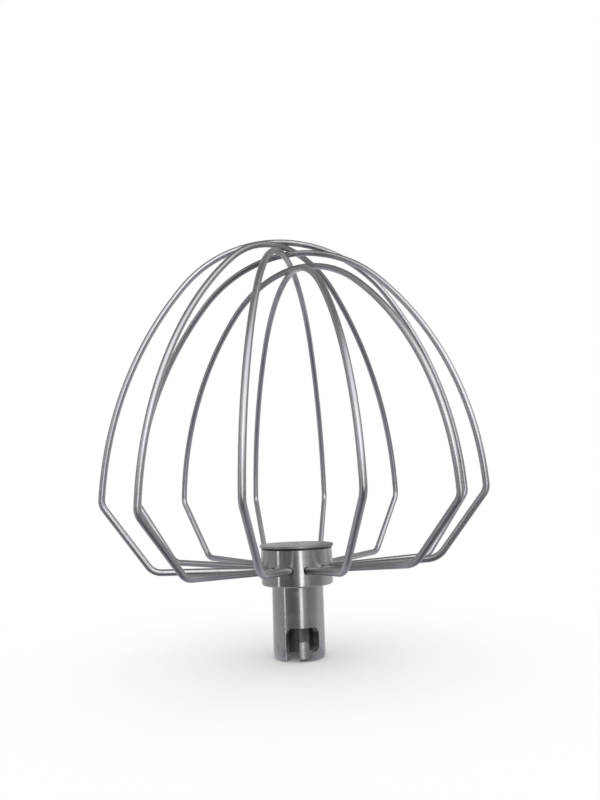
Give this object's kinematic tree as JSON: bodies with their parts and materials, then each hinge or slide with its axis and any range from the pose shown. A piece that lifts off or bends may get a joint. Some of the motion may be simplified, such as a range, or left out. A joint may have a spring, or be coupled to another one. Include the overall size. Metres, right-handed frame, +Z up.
{
  "type": "stand mixer wire whisk",
  "caption": "Balloon whisk for a stand mixer: bent wire loops hooked into a turned steel hub with a cap, on a hollow drive shaft with a bayonet slot.",
  "frame": {"origin": "centre of the open end of the drive shaft, which the whisk stands on", "axes": "+Z up along the shaft towards the crown of the wires; the mouth of the bayonet slot is on the -Y side"},
  "size_m": [0.149, 0.1494, 0.1683],
  "materials": {
    "hub_steel": "turned stainless steel, polished",
    "cap_steel": "faced stainless steel, satin",
    "wire_steel": "drawn stainless wire, satin"
  },
  "bodies": {
    "root": {"hub_shaft": "hub_steel", "cap_plug": "cap_steel", "wire_loop_1": "wire_steel", "wire_loop_2": "wire_steel", "wire_loop_3": "wire_steel", "wire_loop_4": "wire_steel", "wire_loop_5": "wire_steel", "wire_loop_6": "wire_steel"}
  },
  "joints": []
}
